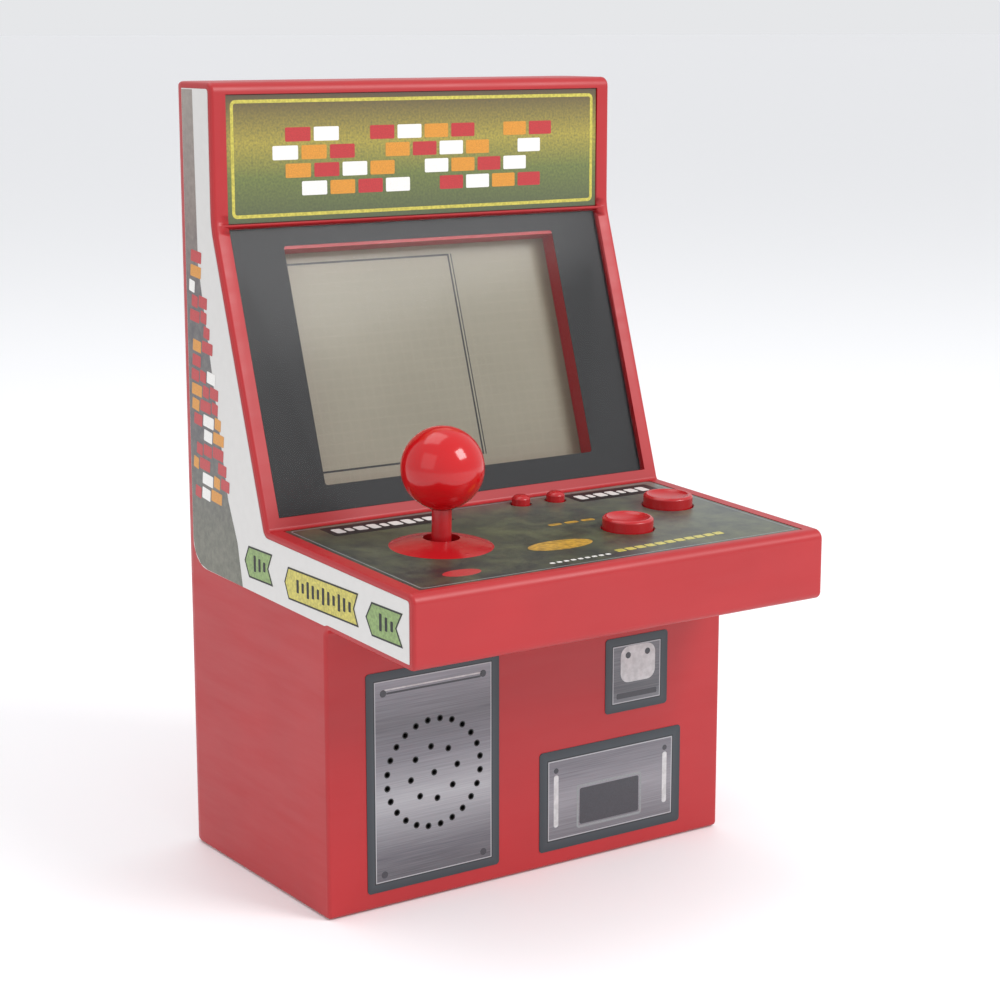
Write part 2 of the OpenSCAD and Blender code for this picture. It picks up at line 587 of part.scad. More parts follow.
// A point over the back of the main board: x, distance up the slope, clearance
function over_board(x, v, gap) = let(p = screen_point(v, board_back - gap)) [x, p[0], p[1]];
wire_d = 0.9;
module speaker_wires() for (s = [0, 2]) color(s == 0 ? "red" : "black") at(0, 0)
    wire([[speaker_at[0] + 3 + s, speaker_back + 0.5, speaker_at[1] + 2],
        [speaker_at[0] + 5 + s, speaker_back + 4, speaker_at[1] + 8],
        [-12 + s, 56, 48], [-6 + s, 66, 56], [-6 + s, 72, 66], [-6 + s, 75, 76],
        over_board(-6 + s, 14, 3), over_board(-6 + s, 18, 0.5)], wire_d);

// ---- Power ----
cell_flip = [for (i = [0:cells - 1]) i % 2 == 1];
function cell_x(i) = (i - (cells - 1) / 2) * cell_pitch;
function cell_foot(i) = box_z0 + (cell_flip[i] ? 2.5 : 4.5);
module each_cell() {
    for (i = [0:cells - 1]) at(cell_y, cell_foot(i) + cell_l / 2, cell_x(i))
        mirror([0, 0, cell_flip[i] ? 1 : 0]) children();
}
module battery_cells() color("#3c6e8c") each_cell() union() {
    translate([0, 0, -cell_l / 2]) cylinder(d = cell_d, h = cell_l - 0.8);
    translate([0, 0, cell_l / 2 - 0.8 - eps]) cylinder(d = 3.8, h = 0.8 + eps);
}
// A cone-shaped coil that bears on the cell's flat end
module battery_springs() color("silver") each_cell() {
    turns = 4;
    steps = turns * 12;
    foot = -cell_l / 2 - 3.85;
    wire([for (i = [0:steps]) let(f = i / steps, r = 3.4 - 1.2 * f)
        [r * cos(30 * i), r * sin(30 * i), foot + 3.55 * f]], 0.5, 6);
}
module battery_plates() color("silver") each_cell() {
    translate([-4.6, -3.8, -cell_l / 2 - 4.5]) cube([9.2, 7.6, 0.4]);
    translate([-4.6, -3.8, cell_l / 2 + 2.1]) cube([9.2, 7.6, 0.4]);
    translate([0, 0, cell_l / 2 + 0.05]) cylinder(d = 4, h = 2.1);
}
module battery_wires() for (s = [-1, 1]) color(s < 0 ? "red" : "black") at(0, 0)
    wire([[s * 12, cell_y - 1, box_z0 + box_h + box_wall + 0.3], [s * 12, cell_y - 2, box_z0 + box_h + 8],
        [s * 12 + 8, cell_y - 2, box_z0 + box_h + 14], [s * 8 + 16, cell_y - 2, box_z0 + box_h + 24],
        over_board(s * 4 + 22, 24, 3), over_board(s * 3 + 22, 28, 0.5)], wire_d);

// ---- Printed decals ----
decal_low = deck_under + 0.7;
decal_back = part_y - 0.6;
module side_decal_shape() intersection() {
    offset(delta = -decal_inset) side_shape();
    polygon(rounded([[-9, decal_low], [decal_back, decal_low + part_y * tan(deck_slope)],
        [decal_back, body_h], [-9, body_h]], [0, 6, 0, 0]));
}
module side_decal(s) color("#e3e1e3")
    translate([s * (body_w + decal_t) / 2, 0, 0]) side_slab(decal_t) side_decal_shape();
module left_side_decal() side_decal(-1);
module right_side_decal() side_decal(1);
module front_decal(x, z, r) { front_slab(front_y - decal_t, decal_t)
    translate([(x[0] + x[1]) / 2, (z[0] + z[1]) / 2]) round_rect(x[1] - x[0], z[1] - z[0], r); }
module speaker_decal() color("#8b8b92") difference() {
    front_decal(speaker_decal_x, speaker_decal_z, 0.8);
    sound_holes(front_y - 1, 2);
}
module coin_slot_decal() color("#8b8b92") front_decal(coin_slot_x, coin_slot_z, 0.8);
module coin_door_decal() color("#8b8b92") front_decal(coin_door_x, coin_door_z, 0.8);

front_housing();
rear_cover();
battery_door();
door_screw();
case_screws();
marquee_sign();
screen_lens();
lens_mask();
lcd_frame();
lcd_glass();
lcd_reflector();
contact_strips();
main_board();
main_board_chip();
main_board_parts();
main_board_screws();
deck_overlay();
stick_bezel();
stick_ball();
stick_shaft();
stick_cross_pin();
stick_actuator();
gimbal_ring();
gimbal_frame();
gimbal_screws();
stick_pad();
button_a();
button_b();
menu_button_left();
menu_button_right();
button_pad();
control_board();
control_board_screws();
ribbon_cable();
speaker_basket();
speaker_cone();
speaker_magnet();
speaker_screws();
speaker_wires();
battery_cells();
battery_springs();
battery_plates();
battery_wires();
left_side_decal();
right_side_decal();
speaker_decal();
coin_slot_decal();
coin_door_decal();
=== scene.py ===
from math import cos, radians, sin, tan

import bmesh
import bpy
from mathutils import Matrix, Vector


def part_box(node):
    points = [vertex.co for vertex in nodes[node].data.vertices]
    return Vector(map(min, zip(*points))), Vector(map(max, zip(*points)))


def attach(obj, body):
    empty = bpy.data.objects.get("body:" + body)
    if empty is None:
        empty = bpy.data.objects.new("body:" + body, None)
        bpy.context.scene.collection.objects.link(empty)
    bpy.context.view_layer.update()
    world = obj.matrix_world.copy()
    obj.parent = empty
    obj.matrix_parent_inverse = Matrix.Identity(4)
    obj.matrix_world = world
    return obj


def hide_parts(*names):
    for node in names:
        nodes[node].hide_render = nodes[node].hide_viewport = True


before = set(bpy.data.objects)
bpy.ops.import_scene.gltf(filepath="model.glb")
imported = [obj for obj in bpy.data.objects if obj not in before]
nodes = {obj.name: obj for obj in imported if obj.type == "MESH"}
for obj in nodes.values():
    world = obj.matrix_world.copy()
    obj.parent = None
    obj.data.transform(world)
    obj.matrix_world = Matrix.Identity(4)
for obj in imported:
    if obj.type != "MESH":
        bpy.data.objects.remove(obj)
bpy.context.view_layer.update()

# ---- Front housing ----
# One deep ABS moulding that is both sides, the deck, the screen face and the
# lower front. Bright red, fine satin from a spark-eroded mould, with softened
# outer edges where the mould halves were polished.
MM = 0.001
half_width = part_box("front_housing")[1].x
deck_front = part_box("front_housing")[0].y
part_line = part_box("rear_cover")[1].y - 4 * MM
shell_round = 1.7 * MM


def linear(colour):
    """sRGB hex such as "c4262b" as a linear RGBA colour."""
    parts = [int(colour[i:i + 2], 16) / 255 for i in (0, 2, 4)]
    return tuple(c / 12.92 if c <= 0.04045 else ((c + 0.055) / 1.055) ** 2.4 for c in parts) + (1.0,)


def node(tree, kind, inputs=(), stops=(), **settings):
    """Adds a shader node: an input given a socket is linked, any other is set."""
    made = tree.nodes.new("ShaderNode" + kind)
    for name, value in settings.items():
        setattr(made, name, value)
    for name, value in dict(inputs).items():
        if isinstance(value, bpy.types.NodeSocket):
            tree.links.new(value, made.inputs[name])
        else:
            made.inputs[name].default_value = value
    if stops:
        ramp = made.color_ramp.elements
        while len(ramp) < len(stops):
            ramp.new(0.5)
        for element, (place, colour) in zip(ramp, stops):
            element.position = place
            element.color = colour
    return made


def started(name):
    """A new material: itself, its tree, its shader and the object's own coordinates."""
    made = bpy.data.materials.new(name)
    made.use_nodes = True
    tree = made.node_tree
    return made, tree, tree.nodes["Principled BSDF"], node(tree, "TexCoord").outputs["Object"]


def tinted(colour, k):
    return tuple(min(1.0, c * k) for c in colour[:3]) + (1.0,)


def moulded_plastic(name, colour, roughness, grain_mm, grain_depth_mm, scuffs=0.08):
    """Moulded ABS: faint flow clouds in the colour, a fine grain, smudges and scuffs in the gloss."""
    made, tree, shader, place = started(name)
    base = linear(colour)
    clouds = node(tree, "TexNoise", {"Vector": place, "Scale": 1 / (22 * MM), "Detail": 4, "Distortion": 0.6})
    tone = node(tree, "ValToRGB", {"Fac": clouds.outputs[0]},
                stops=[(0.3, tinted(base, 0.95)), (0.7, tinted(base, 1.04))])
    grain = node(tree, "TexNoise", {"Vector": place, "Scale": 1 / (grain_mm * MM), "Detail": 2})
    relief = node(tree, "Bump", {"Height": grain.outputs[0], "Distance": grain_depth_mm * MM, "Strength": 1})
    rubbed = node(tree, "Mapping", {"Vector": place, "Scale": (40, 40, 320), "Rotation": (0.3, 0.5, 0.2)})
    smudge = node(tree, "TexNoise", {"Vector": rubbed.outputs[0], "Scale": 1, "Detail": 6, "Roughness": 0.6})
    gloss = node(tree, "MapRange", {"Value": smudge.outputs[0], "From Min": 0.35, "From Max": 0.7,
                                    "To Min": roughness, "To Max": roughness + scuffs})
    tree.links.new(tone.outputs[0], shader.inputs["Base Color"])
    tree.links.new(gloss.outputs[0], shader.inputs["Roughness"])
    tree.links.new(relief.outputs[0], shader.inputs["Normal"])
    shader.inputs["IOR"].default_value = 1.53
    return made


def merged(name):
    """A copy of a CAD node's mesh with its loose triangles joined into whole faces."""
    shape = bmesh.new()
    shape.from_mesh(nodes[name].data)
    bmesh.ops.remove_doubles(shape, verts=shape.verts, dist=0.001 * MM)
    bmesh.ops.dissolve_limit(shape, angle_limit=radians(0.4), verts=shape.verts, edges=shape.edges)
    return shape


def rounded_edges(shape, edges, size, segments=4):
    bmesh.ops.bevel(shape, geom=edges, offset=size, offset_type="OFFSET", segments=segments,
                    profile=0.5, affect="EDGES", clamp_overlap=True, material=-1)


def finished(name, shape, material, body, slot, *stands_for, smooth=32):
    """Makes a piece from a bmesh: smooth but for its sharp edges, in its material, on its body."""
    mesh = bpy.data.meshes.new(name)
    shape.to_mesh(mesh)
    shape.free()
    mesh.materials.append(material)
    mesh.shade_smooth()
    mesh.set_sharp_from_angle(angle=radians(smooth))
    made = bpy.data.objects.new(name, mesh)
    bpy.context.scene.collection.objects.link(made)
    flat_faces = made.modifiers.new("flat_faces", "WEIGHTED_NORMAL")
    flat_faces.keep_sharp = True
    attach(made, body)
    if stands_for:
        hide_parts(*stands_for)
    return made


red_abs = moulded_plastic("red_abs_spark_eroded", "ab181e", 0.36, 0.35, 0.004, 0.12)
shell = merged("front_housing")
outer = [e for e in shell.edges
         if all(abs(abs(v.co.x) - half_width) < 0.01 * MM for v in e.verts)
         and not all(v.co.y > part_line - 0.01 * MM for v in e.verts)
         and e.calc_face_angle(0) > radians(20)]
rounded_edges(shell, outer, shell_round)
finished("housing_shell", shell, red_abs, "housing", "shell_plastic", "front_housing")

# ---- Back cover, battery door and screws ----
# A shallow ABS back with rounded long corners, closed by four self-tapping
# screws; a flat door on two tongues shuts the battery box with one screw.
back = merged("rear_cover")
top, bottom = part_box("rear_cover")[1].z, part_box("rear_cover")[0].z
rims = [e for e in back.edges
        if (all(v.co.z > top - 0.01 * MM for v in e.verts) or all(v.co.z < bottom + 0.01 * MM for v in e.verts))
        and not all(v.co.y < part_line + 0.01 * MM for v in e.verts)
        and e.calc_face_angle(0) > radians(40)]
rounded_edges(back, rims, 0.9 * MM)
finished("back_shell", back, red_abs, "housing", "shell_plastic", "rear_cover")

door = merged("battery_door")
rounded_edges(door, [e for e in door.edges if e.calc_face_angle(0) > radians(50)], 0.12 * MM, 2)
finished("door_panel", door, red_abs, "battery_door", "shell_plastic", "battery_door")


def dress(material, *names):
    """Gives CAD nodes a finished material."""
    for name in names:
        nodes[name].data.materials.clear()
        nodes[name].data.materials.append(material)


def plated_steel(name, colour, roughness):
    """Plated steel: cool metal with fine drawing lines and duller stains."""
    made, tree, shader, place = started(name)
    stains = node(tree, "TexNoise", {"Vector": place, "Scale": 1 / (1.5 * MM), "Detail": 4})
    tone = node(tree, "ValToRGB", {"Fac": stains.outputs[0]},
                stops=[(0.3, tinted(linear(colour), 0.75)), (0.7, linear(colour))])
    dull = node(tree, "MapRange", {"Value": stains.outputs[0], "To Min": roughness, "To Max": roughness + 0.2})
    lines = node(tree, "TexNoise", {"Vector": place, "Scale": 1 / (0.12 * MM), "Detail": 2})
    relief = node(tree, "Bump", {"Height": lines.outputs[0], "Distance": 0.004 * MM, "Strength": 1})
    tree.links.new(tone.outputs[0], shader.inputs["Base Color"])
    tree.links.new(dull.outputs[0], shader.inputs["Roughness"])
    tree.links.new(relief.outputs[0], shader.inputs["Normal"])
    shader.inputs["Metallic"].default_value = 1.0
    return made


zinc = plated_steel("steel_zinc_plated", "b9bbbf", 0.28)
nickel = plated_steel("steel_nickel_plated", "c9c2b2", 0.22)
dress(zinc, "door_screw", "case_screws", "main_board_screws", "gimbal_screws", "control_board_screws",
      "speaker_screws", "stick_cross_pin", "speaker_magnet")
dress(nickel, "battery_springs", "battery_plates")

# ---- Screen ----
# A clear polystyrene lens over a black screen-printed mask, in a shallow recess
# of the screen face. Behind it a red well leads down to the grey-beige display,
# whose play area is edged with a thin printed line.
deck_lip_z = 73.4 * MM
deck_slope = radians(2.1)
deck_depth = 55 * MM
screen_lean = radians(18.2)
knee = Vector((0, deck_front + deck_depth, deck_lip_z + deck_depth * tan(deck_slope)))
on_deck = Matrix.Translation((0, deck_front, deck_lip_z)) @ Matrix.Rotation(deck_slope, 4, "X")
on_screen = Matrix.Translation(knee) @ Matrix.Rotation(radians(90) - screen_lean, 4, "X")
display_depth = 6.1
ink_t = 0.02


def only_rim(part, width):
    """Cuts the middle out of a flat face and leaves a rim of this width."""
    rim = bmesh.ops.inset_region(part, faces=part.faces[:], thickness=width, use_boundary=True,
                                 use_even_offset=True)["faces"]
    bmesh.ops.delete(part, geom=[f for f in part.faces if f not in rim], context="FACES")
    return part


def outline(corners, rounding=0.0, ring=0.0):
    """A flat face in millimetres with rounded corners, or only its rim."""
    part = bmesh.new()
    part.faces.new([part.verts.new((x, y, 0)) for x, y in corners])
    part.normal_update()
    if rounding:
        bmesh.ops.bevel(part, geom=part.verts[:], offset=rounding, segments=6, profile=0.5,
                        affect="VERTICES", material=-1)
    return only_rim(part, ring) if ring else part


def oblong(x0, x1, y0, y1):
    return [(x0, y0), (x1, y0), (x1, y1), (x0, y1)]


def disc(x, y, rx, ry=None, segments=32):
    part = bmesh.new()
    bmesh.ops.create_circle(part, cap_ends=True, segments=segments, radius=1)
    bmesh.ops.scale(part, vec=(rx, ry or rx, 1), verts=part.verts)
    bmesh.ops.translate(part, vec=(x, y, 0), verts=part.verts)
    part.normal_update()
    return part


def printed(shape, part, place, height=0.0, thick=ink_t, both_sides=False):
    """Adds a flat face to a bmesh as a thin layer of print, from millimetres to its place."""
    base = part.faces[:]
    out = bmesh.ops.extrude_face_region(part, geom=base)
    face_up = [v for v in out["geom"] if isinstance(v, bmesh.types.BMVert)]
    bmesh.ops.translate(part, vec=(0, 0, thick), verts=face_up)
    bmesh.ops.translate(part, vec=(0, 0, height), verts=part.verts)
    part.transform(place @ Matrix.Scale(MM, 4))
    layer = bpy.data.meshes.new("layer")
    bmesh.ops.recalc_face_normals(part, faces=part.faces)
    part.to_mesh(layer)
    shape.from_mesh(layer)
    if both_sides:
        bmesh.ops.scale(part, vec=(-1, 1, 1), verts=part.verts)
        bmesh.ops.recalc_face_normals(part, faces=part.faces)
        part.to_mesh(layer)
        shape.from_mesh(layer)
    bpy.data.meshes.remove(layer)
    part.free()


def printed_ink(name, colour, roughness=0.42, mottle=0.12, dot_mm=0.25, coat=0.35):
    """Screen-printed ink under a clear laminate: slightly uneven cover, tiny orange-peel in the film."""
    made, tree, shader, place = started(name)
    cover = node(tree, "TexNoise", {"Vector": place, "Scale": 1 / (dot_mm * MM), "Detail": 3})
    tone = node(tree, "ValToRGB", {"Fac": cover.outputs[0]},
                stops=[(0.35, tinted(linear(colour), 1 - mottle)), (0.65, tinted(linear(colour), 1 + mottle))])
    film = node(tree, "TexNoise", {"Vector": place, "Scale": 1 / (1.8 * MM), "Detail": 2})
    relief = node(tree, "Bump", {"Height": film.outputs[0], "Distance": 0.002 * MM, "Strength": 1})
    tree.links.new(tone.outputs[0], shader.inputs["Base Color"])
    tree.links.new(relief.outputs[0], shader.inputs["Normal"])
    shader.inputs["Roughness"].default_value = roughness
    shader.inputs["Coat Weight"].default_value = coat
    shader.inputs["Coat Roughness"].default_value = 0.18
    return made


# Clear sheet: nearly all see-through, with a gloss that grows towards grazing
# angles and a few fine hairline scratches.
lens, tree, shader, place = started("polystyrene_clear_sheet")
edge_on = node(tree, "LayerWeight", {"Blend": 0.35})
long_lines = node(tree, "Mapping", {"Vector": place, "Scale": (90, 900, 900), "Rotation": (0, 0.35, 0.2)})
hairs = node(tree, "TexNoise", {"Vector": long_lines.outputs[0], "Scale": 1, "Detail": 8, "Roughness": 0.7})
scratch = node(tree, "MapRange", {"Value": hairs.outputs[0], "From Min": 0.62, "From Max": 0.75,
                                  "To Max": 0.06})
solid_part = node(tree, "MapRange", {"Value": edge_on.outputs["Facing"], "To Min": 0.02, "To Max": 0.25})
cover = node(tree, "Math", {0: scratch.outputs[0], 1: solid_part.outputs[0]}, operation="ADD", use_clamp=True)
tree.links.new(cover.outputs[0], shader.inputs["Alpha"])
haze = node(tree, "MapRange", {"Value": hairs.outputs[0], "To Min": 0.04, "To Max": 0.16})
tree.links.new(haze.outputs[0], shader.inputs["Roughness"])
shader.inputs["Base Color"].default_value = linear("4a4c50")
shader.inputs["IOR"].default_value = 1.59
dress(lens, "screen_lens")

mask_ink = printed_ink("black_screen_ink", "0d0e11", 0.55, 0.18, 0.5, coat=0.05)
dress(mask_ink, "lens_mask")

# Twisted-nematic glass with its polariser: grey-beige, a soft sheen, and the
# unlit brick cells only just darker than the ground.
display, tree, shader, place = started("display_glass_polariser")
flat = node(tree, "Mapping", {"Vector": place, "Rotation": (-(radians(90) - screen_lean), 0, 0)},
            vector_type="POINT")
cells = node(tree, "TexBrick", {"Vector": flat.outputs[0], "Scale": 1 / (2.28 * MM), "Mortar Size": 0.06,
                                "Mortar Smooth": 0.3, "Brick Width": 1.0, "Row Height": 1.0,
                                "Color1": linear("867f6a"), "Color2": linear("89826d"),
                                "Mortar": linear("918a75")},
             offset=0.0, squash=1.0)
wash = node(tree, "TexNoise", {"Vector": place, "Scale": 1 / (40 * MM), "Detail": 2})
shaded = node(tree, "ValToRGB", {"Fac": wash.outputs[0]},
              stops=[(0.3, linear("7e7762")), (0.7, linear("98917d"))])
ground = node(tree, "Mix", {0: 0.5, 6: cells.outputs[0], 7: shaded.outputs[0]}, data_type="RGBA")
tree.links.new(ground.outputs[2], shader.inputs["Base Color"])
shader.inputs["Roughness"].default_value = 0.42
shader.inputs["Coat Weight"].default_value = 0.2
shader.inputs["Coat Roughness"].default_value = 0.12
dress(display, "lcd_glass")

# The play area's edge: a broad line all round and a finer one beside it, on the right.
play_left, play_right, play_low, play_high = -37.0, 9.0, 10.9, 55.6
segment_black = printed_ink("display_black_line", "100f0c", 0.6, 0.1, 0.4)
lines = bmesh.new()
printed(lines, outline(oblong(play_left, play_right, play_low, play_high), ring=0.42), on_screen,
        -display_depth)
printed(lines, outline(oblong(play_right + 0.4, play_right + 0.65, play_low, play_high)), on_screen,
        -display_depth)
finished("display_lines", lines, segment_black, "housing", "display_glass")

foil = plated_steel("aluminium_foil", "b8babd", 0.35)
dress(foil, "lcd_reflector")

# ---- Marquee sign ----
# A printed card under clear film in a shallow recess above the screen: an olive
# sunset band with plain coloured bricks, no lettering.
sign_low, sign_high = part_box("marquee_sign")
on_sign = Matrix.Translation((0, sign_low.y, sign_low.z)) @ Matrix.Rotation(radians(90), 4, "X")
sign_height = (sign_high.z - sign_low.z) / MM

card, tree, shader, place = started("printed_card_laminated")
height = node(tree, "SeparateXYZ", {0: place})
grow = node(tree, "MapRange", {"Value": height.outputs["Z"], "From Min": sign_low.z, "From Max": sign_high.z})
bands = node(tree, "ValToRGB", {"Fac": grow.outputs[0]},
             stops=[(0.0, linear("56613a")), (0.35, linear("7d8a3c")), (0.62, linear("c9b53f")),
                    (1.0, linear("5c3a2a"))])
speck = node(tree, "TexNoise", {"Vector": place, "Scale": 1 / (0.5 * MM), "Detail": 3})
worn = node(tree, "Mix", {0: speck.outputs[0], 6: bands.outputs[0], 7: linear("3f4630")}, data_type="RGBA")
tree.links.new(worn.outputs[2], shader.inputs["Base Color"])
shader.inputs["Roughness"].default_value = 0.4
shader.inputs["Coat Weight"].default_value = 0.6
shader.inputs["Coat Roughness"].default_value = 0.08
dress(card, "marquee_sign")

orange_ink = printed_ink("orange_ink", "cf8a26")
gold_ink = printed_ink("gold_ink", "b98f2e", 0.42, 0.3, 1.2)
yellow_ink = printed_ink("yellow_ink", "bdb248", 0.42, 0.2, 0.6)
green_ink = printed_ink("green_ink", "7b9652", 0.42, 0.2, 0.6)
red_ink = printed_ink("red_ink", "b3262a")
white_ink = printed_ink("white_ink", "e6e4e0", 0.45, 0.05)
dark_ink = printed_ink("black_ink", "0d0e0e", 0.55, 0.2, coat=0.1)
silver_ink = printed_ink("silver_ink", "85888a", 0.4, 0.1)


def bricks(shape, x, y, columns, rows, size, gap, place, keep):
    """A wall of plain bricks with some left out."""
    for row in range(rows):
        for column in range(columns):
            if keep(column, row):
                left = x + column * (size[0] + gap) + (row % 2) * size[0] / 2
                low = y + row * (size[1] + gap)
                printed(shape, outline(oblong(left, left + size[0], low, low + size[1]), 0.3), place)


for ink, name, phase in ((red_ink, "sign_red_bricks", 0), (orange_ink, "sign_orange_bricks", 1),
                         (white_ink, "sign_white_bricks", 2)):
    wall = bmesh.new()
    bricks(wall, -36, sign_height * 0.2, 10, 4, (6, 2.9), 0.8, on_sign,
           lambda column, row, phase=phase: (column * 2 + row) % 3 == phase and (column + row) % 5)
    finished(name, wall, ink, "housing", "sign_print")
sign_edge = bmesh.new()
printed(sign_edge, outline(oblong(-45.6, 45.6, 1.0, sign_height - 1.0), 1.2, 0.7), on_sign)
finished("sign_border", sign_edge, yellow_ink, "housing", "sign_print")

# ---- Deck overlay ----
# A printed polyester film let into the deck: mottled dark green-grey, silver border,
# a gold sun, a red spot, and plain white and yellow marks, some on black strips,
# that stand for the instructions of the real one.
overlay_top = -0.1
film, tree, shader, place = started("polyester_film_printed")
along = node(tree, "SeparateXYZ", {0: place})
# The film is drawn darkest at the front left and lighter towards the back right, mixed with mottling.
back = node(tree, "MapRange", {"Value": along.outputs["Y"], "From Min": deck_front, "From Max": knee.y,
                               "To Max": 0.45})
right = node(tree, "MapRange", {"Value": along.outputs["X"], "From Min": -half_width, "From Max": half_width,
                                "To Max": 0.55})
reach = node(tree, "Math", {0: back.outputs[0], 1: right.outputs[0]}, operation="ADD")
corner_ramp = node(tree, "ValToRGB", {"Fac": reach.outputs[0]},
            stops=[(0.08, linear("14191b")), (0.3, linear("22292a")), (0.48, linear("434834")),
                   (0.66, linear("4f5550")), (0.95, linear("6f746f"))])
cloud = node(tree, "TexNoise", {"Vector": place, "Scale": 1 / (7 * MM), "Detail": 8, "Roughness": 0.68,
                                "Distortion": 0.3})
veil = node(tree, "ValToRGB", {"Fac": cloud.outputs[0]},
            stops=[(0.4, linear("171d1f")), (0.66, linear("6f7450"))])
blend = node(tree, "Mix", {0: 0.42, 6: corner_ramp.outputs[0], 7: veil.outputs[0]}, data_type="RGBA")
peel = node(tree, "TexNoise", {"Vector": place, "Scale": 1 / (1.2 * MM), "Detail": 2})
wave = node(tree, "Bump", {"Height": peel.outputs[0], "Distance": 0.008 * MM, "Strength": 1})
tree.links.new(blend.outputs[2], shader.inputs["Base Color"])
tree.links.new(wave.outputs[0], shader.inputs["Normal"])
shader.inputs["Roughness"].default_value = 0.42
shader.inputs["Coat Weight"].default_value = 0.2
shader.inputs["Coat Roughness"].default_value = 0.2
dress(film, "deck_overlay")

border = bmesh.new()
printed(border, outline(oblong(-45.7, 45.7, 3.8, 53.3), 0.8, 0.25), on_deck, overlay_top)
finished("overlay_border", border, silver_ink, "housing", "overlay_print")
strips = bmesh.new()
marks = bmesh.new()
for left, right, middle in ((-39.5, -11.0, 48.9), (21.2, 43.8, 48.7)):
    printed(strips, outline(oblong(left, right, middle - 3.5, middle + 3.5), 0.6), on_deck, overlay_top)
    x = left + 1.5
    step = 0
    while x < right - 3:
        wide, tall = ((2.2, 1.7), (1.5, 1.2), (2.5, 1.45))[step % 3]
        printed(marks, outline(oblong(x, x + wide, middle - tall, middle + tall), 0.5), on_deck,
                overlay_top + ink_t)
        x += wide + 0.7
        step += 1
for step in range(9):
    x = -14.5 + 1.7 * step
    printed(marks, outline(oblong(x, x + 1.1, 6.3 + 0.02 * step, 7.2 + 0.02 * step), 0.3), on_deck, overlay_top)
finished("overlay_strips", strips, dark_ink, "housing", "overlay_print")
finished("overlay_marks", marks, white_ink, "housing", "overlay_print")
sun = bmesh.new()
printed(sun, disc(-4.2, 17.6, 7.6, 3.3, 48), on_deck, overlay_top)
for step in range(3):
    printed(sun, outline(oblong(3.0 + 4.2 * step, 6.2 + 4.2 * step, 31.0, 32.4), 0.5), on_deck, overlay_top)
finished("overlay_sun", sun, gold_ink, "housing", "overlay_print")
dashes = bmesh.new()
for step in range(11):
    x = 2.5 + 2.6 * step
    low = 7.2 + 0.12 * step
    printed(dashes, outline(oblong(x, x + 2.1, low, low + 1.8), 0.3), on_deck, overlay_top)
finished("overlay_dashes", dashes, yellow_ink, "housing", "overlay_print")
spot = bmesh.new()
printed(spot, disc(-33.0, 9.6, 4.2, 2.2, 40), on_deck, overlay_top)
finished("overlay_spot", spot, red_ink, "housing", "overlay_print")

# ---- Joystick ----
# A glossy ball pushed on a moulded shaft, rising through a domed bezel that is
# screwed from inside. Polished red plastic throughout.
polished_red = moulded_plastic("red_abs_polished", "b4181e", 0.2, 0.9, 0.002, 0.1)
ball_red = moulded_plastic("red_abs_high_gloss", "c00e14", 0.1, 1.2, 0.0015, 0.08)


def turned(profile, place, segments=72):
    """A lathed shape from a profile of (radius, height) in millimetres."""
    shape = bmesh.new()
    points = [shape.verts.new((r, 0, z)) for r, z in profile]
    edges = [shape.edges.new(pair) for pair in zip(points, points[1:])]
    bmesh.ops.spin(shape, geom=points + edges, cent=(0, 0, 0), axis=(0, 0, 1), angle=radians(360),
                   steps=segments, use_merge=True)
    bmesh.ops.remove_doubles(shape, verts=shape.verts, dist=0.001)
    bmesh.ops.recalc_face_normals(shape, faces=shape.faces)
    shape.transform(place @ Matrix.Scale(MM, 4))
    return shape


def ring_edges(shape, angle=35):
    return [e for e in shape.edges if e.is_manifold and e.calc_face_angle(0) > radians(angle)]


stick_at = (-25.2, 28.8)
ball_r, ball_lift, flat_foot = 8.35, 15.7, -7.75
on_stick = on_deck @ Matrix.Translation((stick_at[0] * MM, stick_at[1] * MM, 0))
ball = bmesh.new()
bmesh.ops.create_uvsphere(ball, u_segments=96, v_segments=64, radius=ball_r)
waist = [v for v in ball.verts if abs(v.co.z) < 0.01]
bmesh.ops.scale(ball, vec=(0.9985, 0.9985, 1), verts=waist)
cut = bmesh.ops.bisect_plane(ball, geom=ball.verts[:] + ball.edges[:] + ball.faces[:],
                             plane_co=(0, 0, flat_foot), plane_no=(0, 0, -1), clear_outer=True)
cut_rim = [g for g in cut["geom_cut"] if isinstance(g, bmesh.types.BMEdge)]
under = bmesh.ops.contextual_create(ball, geom=cut_rim)["faces"]
bmesh.ops.inset_region(ball, faces=under, thickness=0.55, use_even_offset=True)
bmesh.ops.translate(ball, vec=(0, 0, -0.35), verts=list({v for f in under for v in f.verts}))
bmesh.ops.recalc_face_normals(ball, faces=ball.faces)
ball.transform(on_stick @ Matrix.Translation((0, 0, ball_lift * MM)) @ Matrix.Scale(MM, 4))
finished("stick_ball_top", ball, ball_red, "stick", "ball_plastic", "stick_ball", smooth=50)

dress(polished_red, "stick_shaft")
dome = merged("stick_bezel")
finished("stick_dome", dome, polished_red, "housing", "control_plastic", "stick_bezel", smooth=40)

